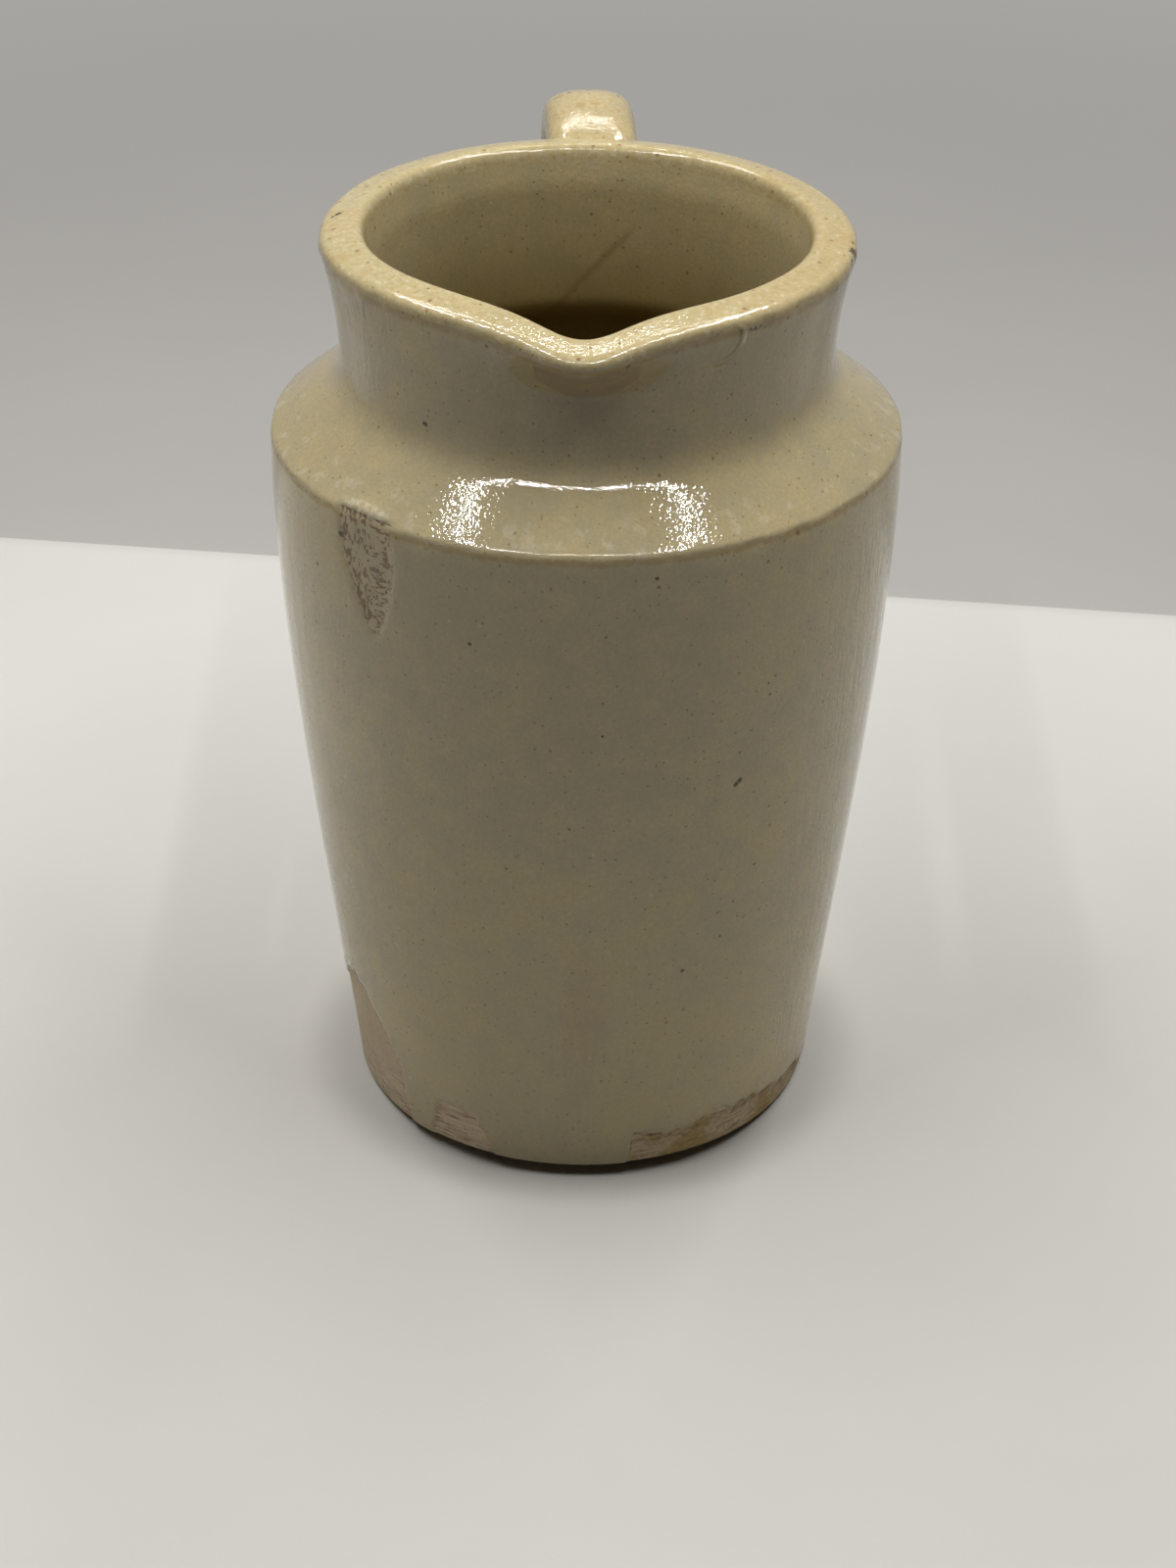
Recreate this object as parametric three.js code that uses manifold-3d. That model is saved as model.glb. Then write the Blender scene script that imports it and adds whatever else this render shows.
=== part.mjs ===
// A small stoneware cream jug: a thrown body with a flared neck and a pulled spout, and a strap handle
// stuck on with slip. Millimetres, +Z up. The origin is the centre of the underside, the spout points
// along -Y and the handle along +Y.
import * as THREE from "three";
import { mergeVertices } from "three/addons/utils/BufferGeometryUtils.js";
import Module from "manifold-3d";

const wasm = await Module();
wasm.setup();

// Body, outside
const footRadius = 25.2;
const footEdgeReach = 0.9;
const shoulderRadius = 32.5;
const shoulderHeight = 76.9;
const shoulderEdgeReach = 1.1;
const shoulderRise = 5.7;
const neckRadius = 25.2;
const neckFilletReach = 2.0;
const rimRadius = 26.7;
const rimHeight = 98.6;
const rimEdgeReach = 2.7;

// How the wall swells between the foot and the shoulder, as shares of the wall's height and of the step
// from the foot's radius to the shoulder's
const wallSwellShares = [
  [0.39, 1 / 3],
  [0.98, 2 / 3],
];

// How the neck opens towards the rim: shares of the step out to the rim and of the neck's height
const neckFlareShares = [
  [0, 0.45],
  [0.8, 0.72],
];

// Body, inside
const wallThickness = 4.3;
const floorThickness = 5.2;
const floorCornerReach = 4.0;
const lipThickness = 4.1;
const lipEdgeReach = 0.9;
const throatRadius = 21.8;
const throatLedgeDepth = 4.4;
const throatLedgeReach = 1.0;
const throatEdgeReach = 1.6;
const insideShoulderReach = 2.6;

// Spout: the lip is pulled out and a little down at the front, and pressed in beside it
const spoutReach = 4.1;
const spoutDip = 1.0;
const spoutSpread = 3.9;
const spoutTop = 1.5;
const spoutDepth = 8.0;
const pinchDepth = 0.8;
const pinchDistance = 17.0;

// Handle: a strap whose centre line leaves the neck, rises to a crest, falls and meets the wall
const handleStandOff = 13.5;
const handleCrestDrop = 3.1;
const handleRootDrop = 6.7;
const handleEndDrop = 9.9;
const handleWidth = 9.9;
const handleEndWidth = 9.2;
const handleThickness = 6.2;
const handleEndThickness = 5.6;
const handleRootSpread = 1.2;
const handleSpreadPower = 8;
const handleSideStep = 0.5;
const handleYaw = THREE.MathUtils.degToRad(3.5);
const handleSectionPower = 2.6;

// The centre line's rise: shares of the way out from the neck to the handle's reach, and of the root's
// depth under the crest
const handleRiseShares = [
  [-0.13, 1],
  [0.06, 0.66],
  [0.33, 0.19],
  [0.615, 0],
  [0.885, 0.38],
];

// Its fall: shares of the way out from the shoulder's radius to the handle's reach, and of the way up from
// the lower end to the crest
const handleFallShares = [
  [1, 0.694],
  [0.91, 0.451],
  [0.63, 0.229],
  [0.245, 0.076],
  [-0.07, 0],
  [-0.33, -0.042],
];

// Slip joints: a fillet of slip round each end of the strap, thick on the body and thin along the strap
const slipThickness = 1.6;
const slipLength = 4.0;
const slipStretch = 19.0;
const jointClearance = 0.3;

// Facets
const turnSteps = 60;
const cornerSteps = 4;
const wallSteps = 12;
const neckSteps = 6;
const insideWallSteps = 8;
const frontBunchShare = 0.5;
const sectionSteps = 20;
const handleSteps = 30;
const slipSteps = 14;
const weldDistance = 0.01;

const glaze = { color: 0xdccfa8, roughness: 0.22, metalness: 0 };
const glazedStoneware = new THREE.MeshStandardMaterial(glaze);
const slipStoneware = new THREE.MeshStandardMaterial({ ...glaze, color: 0xcfbe93, roughness: 0.3 });

const at = (radius, height) => new THREE.Vector2(radius, height);

// A point from shares of the way between two corners of a profile.
function between(low, high, [across, up]) {
  return at(THREE.MathUtils.lerp(low.x, high.x, across), THREE.MathUtils.lerp(low.y, high.y, up));
}

// The point at a distance from a corner, on the way to the next one.
function towards(corner, next, distance) {
  return corner.clone().lerp(next, distance / corner.distanceTo(next));
}

// A rounded corner that starts and ends a reach away from the sharp one.
function rounded(before, corner, after, reach, steps) {
  const start = towards(corner, before, reach);
  const end = towards(corner, after, reach);
  return new THREE.QuadraticBezierCurve(start, corner, end).getPoints(steps);
}

// A cubic run between two rounded corners, without its end points, which the corners already give.
function run(start, startHandle, endHandle, end, steps) {
  return new THREE.CubicBezierCurve(start, startHandle, endHandle, end).getPoints(steps).slice(1, -1);
}

// The outside of the body, from the centre of the underside up to the top of the lip.
function outsideProfile() {
  const foot = at(footRadius, 0);
  const shoulder = at(shoulderRadius, shoulderHeight);
  const neck = at(neckRadius, shoulderHeight + shoulderRise);
  const rim = at(rimRadius, rimHeight);
  const [wallLow, wallHigh] = wallSwellShares.map((shares) => between(foot, shoulder, shares));
  const [neckLow, neckHigh] = neckFlareShares.map((shares) => between(neck, rim, shares));
  const lipTop = at(rimRadius - lipThickness, rimHeight);
  return [
    at(0, 0),
    ...rounded(at(0, 0), foot, wallLow, footEdgeReach, cornerSteps),
    ...run(towards(foot, wallLow, footEdgeReach), wallLow, wallHigh,
      towards(shoulder, wallHigh, shoulderEdgeReach), wallSteps),
    ...rounded(wallHigh, shoulder, neck, shoulderEdgeReach, cornerSteps),
    ...rounded(shoulder, neck, neckLow, neckFilletReach, cornerSteps),
    ...run(towards(neck, neckLow, neckFilletReach), neckLow, neckHigh,
      towards(rim, neckHigh, rimEdgeReach), neckSteps),
    ...rounded(neckHigh, rim, lipTop, rimEdgeReach, cornerSteps),
  ];
}

// The inside of the body, from the lip's inner edge down to the centre of the floor.
function insideProfile() {
  const outerRim = at(rimRadius, rimHeight);
  const lip = at(rimRadius - lipThickness, rimHeight);
  const ledge = at(throatRadius, rimHeight - throatLedgeDepth);
  const shoulderSlope = shoulderRise / (shoulderRadius - neckRadius);
  const shoulderDrop = wallThickness * (Math.hypot(1, shoulderSlope) - shoulderSlope);
  const shoulder = at(shoulderRadius - wallThickness, shoulderHeight - shoulderDrop);
  const throat = at(throatRadius, shoulder.y + (shoulder.x - throatRadius) * shoulderSlope);
  const foot = at(footRadius - wallThickness, floorThickness);
  const centre = at(0, floorThickness);
  const [wallLow, wallHigh] = wallSwellShares.map((shares) => between(foot, shoulder, shares));
  const ledgeEnd = towards(ledge, throat, throatLedgeReach);
  const throatStart = towards(throat, ledge, throatEdgeReach);
  return [
    ...rounded(outerRim, lip, ledge, lipEdgeReach, cornerSteps),
    ...rounded(lip, ledge, throat, throatLedgeReach, cornerSteps),
    ...run(ledgeEnd, ledgeEnd, throatStart, throatStart, cornerSteps),
    ...rounded(ledge, throat, shoulder, throatEdgeReach, cornerSteps),
    ...rounded(throat, shoulder, wallHigh, insideShoulderReach, cornerSteps),
    ...run(towards(shoulder, wallHigh, insideShoulderReach), wallHigh, wallLow,
      towards(foot, wallLow, floorCornerReach), insideWallSteps),
    ...rounded(wallLow, foot, centre, floorCornerReach, cornerSteps),
    centre,
  ];
}

// Moves each point of an open profile outwards, square to the profile.
function offsetProfile(points, distance) {
  return points.map((point, i) => {
    const before = points[Math.max(i - 1, 0)];
    const after = points[Math.min(i + 1, points.length - 1)];
    const along = after.clone().sub(before).normalize();
    const moved = at(point.x + along.y * distance, point.y - along.x * distance);
    return point.x === 0 ? at(0, moved.y) : moved;
  });
}

// Turns a profile into a solid of revolution about Z, with its facets closest together at the front.
function revolve(profile) {
  const geometry = new THREE.LatheGeometry(profile, turnSteps, Math.PI).rotateX(Math.PI / 2);
  return moveVertices(geometry, (point) => {
    const radius = Math.hypot(point.x, point.y);
    const angle = Math.atan2(point.x, -point.y);
    const bunched = angle - frontBunchShare * Math.sin(angle);
    point.x = radius * Math.sin(bunched);
    point.y = -radius * Math.cos(bunched);
  });
}

// Changes a geometry by a function that moves one point.
function moveVertices(geometry, move) {
  const position = geometry.getAttribute("position");
  const point = new THREE.Vector3();
  for (let i = 0; i < position.count; i++) {
    move(point.fromBufferAttribute(position, i));
    position.setXYZ(i, point.x, point.y, point.z);
  }
  return geometry;
}

// The potter's pull: one finger draws the lip out at the front while two others hold it in beside it.
// It dies away below the lip, inside and outside alike, so that the wall keeps its thickness.
function pullSpout(point) {
  const radius = Math.hypot(point.x, point.y);
  const angle = Math.atan2(point.x, -point.y);
  const along = rimRadius * angle;
  const pull = 1 / Math.cosh(along / spoutSpread);
  const heldIn = (along / pinchDistance) ** 2 * Math.exp(1 - (along / pinchDistance) ** 2);
  const depth = rimHeight - point.z;
  const fade = 1 - THREE.MathUtils.smoothstep(depth, spoutTop, spoutDepth);
  const moved = radius + (spoutReach * pull - pinchDepth * heldIn) * fade;
  point.x = moved * Math.sin(angle);
  point.y = -moved * Math.cos(angle);
  point.z -= spoutDip * pull * fade;
}

// A closed geometry as a solid.
function solidOf(geometry) {
  const bare = new THREE.BufferGeometry()
    .setAttribute("position", geometry.getAttribute("position"))
    .setIndex(geometry.index);
  const merged = mergeVertices(bare, weldDistance);
  return new wasm.Manifold(new wasm.Mesh({
    numProp: 3,
    vertProperties: merged.getAttribute("position").array,
    triVerts: new Uint32Array(merged.index.array),
  }));
}

// A solid as a mesh with its name and material.
function meshOf(name, solid, material) {
  const { vertProperties, triVerts } = solid.getMesh();
  const geometry = new THREE.BufferGeometry()
    .setAttribute("position", new THREE.BufferAttribute(vertProperties, 3))
    .setIndex(new THREE.BufferAttribute(triVerts, 1));
  geometry.computeVertexNormals();
  const mesh = new THREE.Mesh(geometry, material);
  mesh.name = name;
  return mesh;
}

// The body's outside radius at a height.
function outsideRadiusAt(height) {
  const profile = outsideProfile();
  const above = profile.findIndex((point, i) => i > 0 && point.y >= height);
  if (above < 0) return profile.at(-1).x;
  const [low, high] = [profile[above - 1], profile[above]];
  return THREE.MathUtils.mapLinear(height, low.y, high.y, low.x, high.x);
}

// The strap's centre line. Its plane is upright, and turned a little to one side behind the jug.
function handleCurve() {
  const reach = shoulderRadius + handleStandOff;
  const low = shoulderHeight - handleEndDrop;
  const crest = rimHeight - handleCrestDrop;
  const place = (start, out, height) => {
    const fromNeck = THREE.MathUtils.lerp(start, reach, out) - neckRadius;
    return new THREE.Vector3(
      handleSideStep - fromNeck * Math.sin(handleYaw),
      neckRadius + fromNeck * Math.cos(handleYaw),
      height,
    );
  };
  return new THREE.CatmullRomCurve3([
    ...handleRiseShares.map(([out, down]) => place(neckRadius, out, crest - down * handleRootDrop)),
    ...handleFallShares.map(([out, up]) => place(shoulderRadius, out, THREE.MathUtils.lerp(low, crest, up))),
  ]);
}

// The strap's half width and half thickness at a share of its length. It spreads a little at both roots.
function strapSize(share) {
  const spread = handleRootSpread * (2 * share - 1) ** handleSpreadPower;
  return {
    halfWidth: (THREE.MathUtils.lerp(handleWidth, handleEndWidth, share) + spread) / 2,
    halfThickness: (THREE.MathUtils.lerp(handleThickness, handleEndThickness, share) + spread) / 2,
  };
}

// Lofts the strap's rounded section along a stretch of its centre line. Each point of its surface is moved
// out by what grow gives there.
function loftStrap(startShare, endShare, steps, grow) {
  const curve = handleCurve();
  const sideways = new THREE.Vector3(Math.cos(handleYaw), Math.sin(handleYaw), 0);
  const soften = (value) => Math.sign(value) * Math.abs(value) ** (2 / handleSectionPower);
  const positions = [];
  for (let i = 0; i <= steps; i++) {
    const share = THREE.MathUtils.lerp(startShare, endShare, i / steps);
    const centre = curve.getPointAt(share);
    const up = new THREE.Vector3().crossVectors(sideways, curve.getTangentAt(share));
    const { halfWidth, halfThickness } = strapSize(share);
    for (let k = 0; k < sectionSteps; k++) {
      const turn = (2 * Math.PI * k) / sectionSteps;
      const [across, over] = [soften(Math.cos(turn)), soften(Math.sin(turn))];
      const onStrap = (extra) => centre.clone()
        .addScaledVector(sideways, (halfWidth + extra) * across)
        .addScaledVector(up, (halfThickness + extra) * over);
      positions.push(...onStrap(grow(onStrap(0))));
    }
  }
  return new THREE.BufferGeometry()
    .setAttribute("position", new THREE.Float32BufferAttribute(positions, 3))
    .setIndex(tubeFaces(steps));
}

// The faces of a closed tube of steps, with a section at each end of each step.
function tubeFaces(steps) {
  const faces = [];
  for (let i = 0; i < steps; i++) {
    for (let k = 0; k < sectionSteps; k++) {
      const [a, b] = [i * sectionSteps + k, i * sectionSteps + ((k + 1) % sectionSteps)];
      const [c, d] = [a + sectionSteps, b + sectionSteps];
      faces.push(a, c, b, b, c, d);
    }
  }
  const last = steps * sectionSteps;
  for (let k = 1; k < sectionSteps - 1; k++) {
    faces.push(0, k, k + 1, last, last + k + 1, last + k);
  }
  return faces;
}

// The space that the body takes up with the joint's clearance round it, closed across the mouth.
function bodySpace() {
  const outside = offsetProfile(outsideProfile(), jointClearance);
  return solidOf(revolve([...outside, at(0, outside.at(-1).y)]));
}

function body() {
  const profile = [...outsideProfile(), ...insideProfile()];
  return solidOf(moveVertices(revolve(profile), pullSpout));
}

function handle() {
  return solidOf(loftStrap(0, 1, handleSteps, () => 0)).subtract(bodySpace());
}

// How far a fillet of slip stands off the strap at a point of the strap's surface.
function slipAt(point) {
  const offBody = Math.max(Math.hypot(point.x, point.y) - outsideRadiusAt(point.z), 0);
  return slipThickness * Math.max(1 - offBody / slipLength, 0) ** 2;
}

// The fillet of slip round one end of the strap.
function slipJoint(startShare, endShare) {
  const fillet = solidOf(loftStrap(startShare, endShare, slipSteps, slipAt));
  const strap = solidOf(loftStrap(0, 1, handleSteps, () => jointClearance));
  return fillet.subtract(strap).subtract(bodySpace());
}

const slipShare = slipStretch / handleCurve().getLength();

const jug = new THREE.Group();
jug.name = "cream_jug";
jug.add(meshOf("jug_body", body(), glazedStoneware));
jug.add(meshOf("handle", handle(), glazedStoneware));
jug.add(meshOf("upper_slip_joint", slipJoint(0, slipShare), slipStoneware));
jug.add(meshOf("lower_slip_joint", slipJoint(1 - slipShare, 1), slipStoneware));

export default jug;
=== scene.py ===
import math
from functools import cached_property, reduce
from operator import mul
from types import SimpleNamespace

import bmesh
import bpy
from bpy.props import FloatProperty, FloatVectorProperty, PointerProperty
from mathutils import Matrix, Vector, noise
from mathutils.bvhtree import BVHTree
from mathutils.geometry import interpolate_bezier


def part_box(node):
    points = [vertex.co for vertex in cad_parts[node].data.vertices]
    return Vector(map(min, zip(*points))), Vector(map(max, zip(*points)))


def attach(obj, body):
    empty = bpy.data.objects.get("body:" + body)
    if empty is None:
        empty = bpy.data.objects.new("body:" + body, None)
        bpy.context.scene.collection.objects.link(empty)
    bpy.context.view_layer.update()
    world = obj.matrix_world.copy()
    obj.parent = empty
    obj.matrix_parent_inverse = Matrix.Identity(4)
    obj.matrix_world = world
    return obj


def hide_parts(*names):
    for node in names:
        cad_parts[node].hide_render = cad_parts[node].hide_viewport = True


bl_info = {
    "name": "Stoneware Cream Jug",
    "version": (1, 0, 0),
    "blender": (4, 5, 0),
    "location": "3D View > Sidebar > Cream Jug",
    "description": "Throws, pulls, lutes and glazes a small stoneware cream jug on its stage",
    "category": "Object",
}

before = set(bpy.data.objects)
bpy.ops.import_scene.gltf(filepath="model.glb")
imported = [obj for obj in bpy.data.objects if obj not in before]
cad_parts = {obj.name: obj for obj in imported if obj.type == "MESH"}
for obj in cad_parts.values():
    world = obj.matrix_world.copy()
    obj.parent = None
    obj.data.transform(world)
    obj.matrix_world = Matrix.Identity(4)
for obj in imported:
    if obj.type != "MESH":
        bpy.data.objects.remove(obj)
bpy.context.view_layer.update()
BODY_LOW, BODY_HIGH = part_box("jug_body")
BODY_REACH = min(BODY_HIGH.x, -BODY_LOW.x, -BODY_LOW.y)

MM = 0.001
COVER = 0.05


# Sizes and colours

def length(name, description, default):
    """A length property. Its default is in millimetres."""
    return FloatProperty(name=name, description=description, default=default * MM, min=0, unit="LENGTH",
                         precision=5)


def colour(name, description, default):
    """A colour property."""
    return FloatVectorProperty(name=name, description=description, default=default, size=3, min=0, max=1,
                               subtype="COLOR")


def angle(name, description, default):
    """An angle property. Its default is in degrees."""
    return FloatProperty(name=name, description=description, default=math.radians(default), subtype="ANGLE")


def power(name, description, default):
    """A lamp power property."""
    return FloatProperty(name=name, description=description, default=default, min=0, unit="POWER")


class BodySizes(bpy.types.PropertyGroup):
    """Sizes of the thrown body."""

    foot_radius: length("Foot radius", "Radius of the body where it stands", 25.2)
    foot_edge: length("Foot edge", "Reach of the rounding round the foot", 0.4)
    foot_lift: length("Foot lift", "How far the front edge of the foot stands off the table", 0.15)
    shoulder_radius: length("Shoulder radius", "Largest radius of the body", BODY_REACH / MM + COVER)
    shoulder_height: length("Shoulder height", "Height of the shoulder's edge", 76.9)
    shoulder_edge: length("Shoulder edge", "Reach of the rounding of the shoulder's edge", 0.65)
    shoulder_rise: length("Shoulder rise", "Height from the shoulder's edge to the neck", 5.7)
    neck_radius: length("Neck radius", "Radius of the neck above the shoulder", 25.25)
    neck_fillet: length("Neck fillet", "Reach of the fillet between shoulder and neck", 2.4)
    rim_radius: length("Rim radius", "Outer radius of the rim, before its edge is rounded", 27.45)
    rim_height: length("Rim height", "Height of the rim on its high side", BODY_HIGH.z / MM)
    rim_drop: length("Rim drop", "How much the lip's top slopes down to the rim's outer edge", 1.05)
    rim_edge: length("Rim edge", "Reach of the rounding of the rim's outer edge", 1.7)
    rim_tilt: length("Rim tilt", "How much lower the rim is on its low side", 0.3)
    low_side: angle("Low side", "Where the rim is lowest, from the front to the right", 126)
    lip: length("Lip", "Width of the lip", 4.85)
    lip_edge: length("Lip edge", "Reach of the rounding of the lip's inner edge", 1.45)
    throat_radius: length("Throat radius", "Inner radius of the neck", 21.8)
    throat_ledge: length("Throat ledge", "Depth at which the lip runs into the throat", 4.4)
    throat_ledge_edge: length("Throat ledge edge", "Reach of the rounding under the lip", 1.0)
    throat_edge: length("Throat edge", "Reach of the rounding where the throat opens to the chamber", 1.6)
    wall: length("Wall", "Thickness of the wall", 4.3)
    inside_shoulder: length("Inside shoulder", "Reach of the rounding inside the shoulder", 2.6)
    floor: length("Floor", "Thickness of the floor", 5.2)
    floor_corner: length("Floor corner", "Reach of the rounding round the floor inside", 4.0)
    wobble: length("Wobble", "Depth of the unevenness that the potter's hands leave", 0.16)
    coat: length("Glaze coat", "Thickness of the glaze, which ends in a step at bare clay", 0.22)


class SpoutSizes(bpy.types.PropertyGroup):
    """Sizes of the pulled spout."""

    reach: length("Reach", "How far the lip is pulled out", 3.95)
    shift: length("Shift", "How far the pull is off the middle, to the left", 0.3)
    dip: length("Dip", "How far the lip is pulled down", 1.0)
    spread: length("Spread", "Distance along the rim over which the pull dies away", 3.9)
    top: length("Top", "Depth under the rim where the pull starts to die away", 1.5)
    depth: length("Depth", "Depth under the rim where the pull ends", 8.0)
    pinch: length("Pinch", "How far the lip is held in to the left of the spout", 0.95)
    right_pinch: length("Right pinch", "How far the lip is held in to the right of the spout", 0.25)
    pinch_distance: length("Pinch distance", "Distance along the rim to the pinch", 17.0)


class HandleSizes(bpy.types.PropertyGroup):
    """Sizes of the strap handle and of the slip that holds it."""

    stand_off: length("Stand-off", "Reach of the strap's centre line past the shoulder", 13.5)
    crest_drop: length("Crest drop", "Depth of the centre line's crest under the rim", 3.1)
    root_drop: length("Root drop", "Depth of the upper root under the crest", 6.7)
    end_drop: length("End drop", "Depth of the lower end under the shoulder's edge", 9.9)
    width: length("Width", "Width of the strap at its upper root", 10.0)
    end_width: length("End width", "Width of the strap at its lower end", 9.6)
    thickness: length("Thickness", "Thickness of the strap at its upper root", 6.15)
    end_thickness: length("End thickness", "Thickness of the strap at its lower end", 5.55)
    root_spread: length("Root spread", "How much the strap spreads at both roots", 1.2)
    side_step: length("Side step", "How far the strap starts off the middle", 0.9)
    yaw: angle("Yaw", "How far the strap leans to the left seen from the front", 4.3)
    wobble: length("Wobble", "Depth of the unevenness that the potter's hands leave", 0.14)
    root_depth: length("Root depth", "How deep the strap's roots are sunk in the wall", 1.1)
    slip_reach: length("Slip reach", "How far the fillets of slip reach along strap and wall", 2.3)
    slip_sink: length("Slip sink", "How deep the fillets' edges lie under the glaze", 0.04)


class GlazeLook(bpy.types.PropertyGroup):
    """Colours of the glaze and of the clay; the depth colour is partly painted shade."""

    cream: colour("Cream", "The glaze where it lies thick", (0.63, 0.52, 0.285))
    straw: colour("Straw", "The glaze where it is warmer", (0.65, 0.52, 0.26))
    ash: colour("Ash", "The glaze where it is greyer", (0.54, 0.465, 0.285))
    butter: colour("Butter", "The glaze on the rim", (0.575, 0.475, 0.248))
    honey: colour("Honey", "The glaze where it breaks thin over an edge", (0.46, 0.325, 0.125))
    rust: colour("Rust", "Warm stains from iron in the glaze", (0.50, 0.34, 0.12))
    # Partly painted shade: the dark brown that the glaze inside is turned toward in the hollow's depth
    depth: colour("Depth", "The glaze deep inside", (0.25, 0.18, 0.055))
    iron: colour("Iron", "The fine specks of iron", (0.195, 0.093, 0.026))
    soot: colour("Soot", "The pits and the largest specks", (0.040, 0.019, 0.006))
    pale: colour("Pale", "Pin dots and beads of thick pale glaze", (0.86, 0.80, 0.62))
    clay: colour("Clay", "The bare clay", (0.74, 0.60, 0.42))
    burnt: colour("Burnt clay", "Burnt streaks on the bare clay", (0.20, 0.115, 0.05))


class StageLook(bpy.types.PropertyGroup):
    """The camera, the lamps over the table, and what the jug stands on."""

    camera_height: length("Camera height", "Height of the camera over the table", 226.46)
    camera_distance: length("Camera distance", "Distance of the camera in front of the jug", 328.9)
    camera_side: length("Camera side", "Distance of the camera to the right", 0.455)
    pitch: angle("Pitch", "How far the camera looks down", 30.444)
    roll: angle("Roll", "How far the camera is rolled", 0.458)
    focal_length: FloatProperty(name="Focal length", description="In millimetres on a 36 mm sensor",
                                default=80.1, min=1, unit="CAMERA")
    lamp_height: length("Lamp height", "Height of the square of strip lamps over the table", 400.0)
    lamp_width: length("Lamp width", "Width of a strip lamp", 5.0)
    side_power: power("Side power", "Power of the strip lamps to the left and right", 0.98)
    front_power: power("Front power", "Power of the strip lamp over the front", 0.75)
    back_power: power("Back power", "Power of the strip lamp over the back", 0.39)
    lamp_tint: colour("Lamp tint", "Colour of the lamps", (1.0, 0.985, 0.955))
    paper: colour("Paper", "The paper that the jug stands on", (0.80, 0.79, 0.765))
    bounce: colour("Bounce", "The paper as the jug sees it", (0.60, 0.59, 0.565))
    card: colour("Card", "The grey card behind the paper", (0.52, 0.51, 0.495))
    room: colour("Room", "The dim light of the room", (0.008, 0.0075, 0.0065))
    near_glow: colour("Near glow", "The paper where it runs out of the lamps' light", (0.62, 0.61, 0.59))
    horizon: colour("Horizon", "The pale background that the camera sees", (0.40, 0.39, 0.37))


# Shader nodes

class Wire:
    """An output of a shader node. Arithmetic on it adds Math nodes to the same tree."""

    def __init__(self, shader, socket):
        self.shader = shader
        self.socket = socket

    def math(self, operation, *values):
        """Adds a Math node."""
        return self.shader.node("ShaderNodeMath", {"operation": operation}, dict(enumerate(values)))

    def __add__(self, other):
        return self.math("ADD", self, other)

    def __sub__(self, other):
        return self.math("SUBTRACT", self, other)

    def __rsub__(self, other):
        return self.math("SUBTRACT", other, self)

    def __mul__(self, other):
        return self.math("MULTIPLY", self, other)

    def __truediv__(self, other):
        return self.math("DIVIDE", self, other)

    def __pow__(self, other):
        return self.math("POWER", self, other)

    def __neg__(self):
        return self * -1

    def __abs__(self):
        return self.math("ABSOLUTE", self)

    __radd__ = __add__
    __rmul__ = __mul__

    def at_least(self, other):
        """The larger of two values."""
        return self.math("MAXIMUM", self, other)

    def step(self, start, end):
        """Rises smoothly from 0 to 1 while the value goes from start to end."""
        return self.shader.node("ShaderNodeMapRange", {"interpolation_type": "SMOOTHSTEP"},
                                {"Value": self, "From Min": start, "From Max": end})


class Shader:
    """The node tree of one material or world."""

    def __init__(self, owner):
        owner.use_nodes = True
        self.tree = owner.node_tree
        self.tree.nodes.clear()

    def node(self, kind, settings=None, values=None, output=0):
        """Adds a node: its type, its settings, and the values or wires of its sockets. Returns one output."""
        made = self.tree.nodes.new(kind)
        for name, value in (settings or {}).items():
            setattr(made, name, value)
        for name, value in (values or {}).items():
            if isinstance(value, Wire):
                self.tree.links.new(value.socket, made.inputs[name])
            else:
                made.inputs[name].default_value = value
        return Wire(self, made.outputs[output]) if made.outputs else None

    def mix(self, share, first, second):
        """Mixes two colours."""
        def four(value):
            return value if isinstance(value, Wire) else (*value[:3], 1)
        values = {0: share, 6: four(first), 7: four(second)}
        return self.node("ShaderNodeMix", {"data_type": "RGBA"}, values, 2)

    def place(self):
        """The place on the object, in metres."""
        return self.node("ShaderNodeTexCoord", output="Object")

    def parts(self, vector):
        """The three parts of a vector."""
        split = self.node("ShaderNodeSeparateXYZ", values={0: vector})
        return [Wire(self, socket) for socket in split.socket.node.outputs]

    def scaled(self, vector, scale):
        """A vector with each part multiplied."""
        return self.node("ShaderNodeVectorMath", {"operation": "MULTIPLY"}, {0: vector, 1: scale})

    def shifted(self, vector, offset):
        """A vector with an offset added."""
        return self.node("ShaderNodeVectorMath", {"operation": "ADD"}, {0: vector, 1: offset})

    def distance(self, vector, point):
        """The distance from a point."""
        return self.node("ShaderNodeVectorMath", {"operation": "DISTANCE"}, {0: vector, 1: point}, "Value")

    def noise(self, vector, size, detail=2.0, roughness=0.5):
        """Noise from 0 to 1 with features of a size in metres."""
        return self.node("ShaderNodeTexNoise", None, {"Vector": vector, "Scale": 1 / size, "Detail": detail,
                                                      "Roughness": roughness})

    def dots(self, vector, cell, radius):
        """Round dots of up to a radius, about one for each cell. 1 in the middle of a dot and 0 outside."""
        cells = self.node("ShaderNodeTexVoronoi", None, {"Vector": vector, "Scale": 1 / cell})
        tint = Wire(self, cells.socket.node.outputs["Color"])
        lot = self.node("ShaderNodeSeparateColor", values={0: tint})
        reach = lot * (radius / cell)
        return cells.step(reach, reach * 0.45)

    def attribute(self, name):
        """A value that the mesh carries on its vertices."""
        return self.node("ShaderNodeAttribute", {"attribute_name": name}, output="Fac")

    def surface(self, tint, roughness, height):
        """A glossy surface whose colour, roughness and height vary, wired to the output."""
        bump = self.node("ShaderNodeBump", None, {"Height": height, "Distance": 1.0})
        shell = self.node("ShaderNodeBsdfPrincipled", None, {"Base Color": tint, "Roughness": roughness,
                                                             "Normal": bump, "IOR": 1.52})
        self.node("ShaderNodeOutputMaterial", None, {"Surface": shell})


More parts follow.
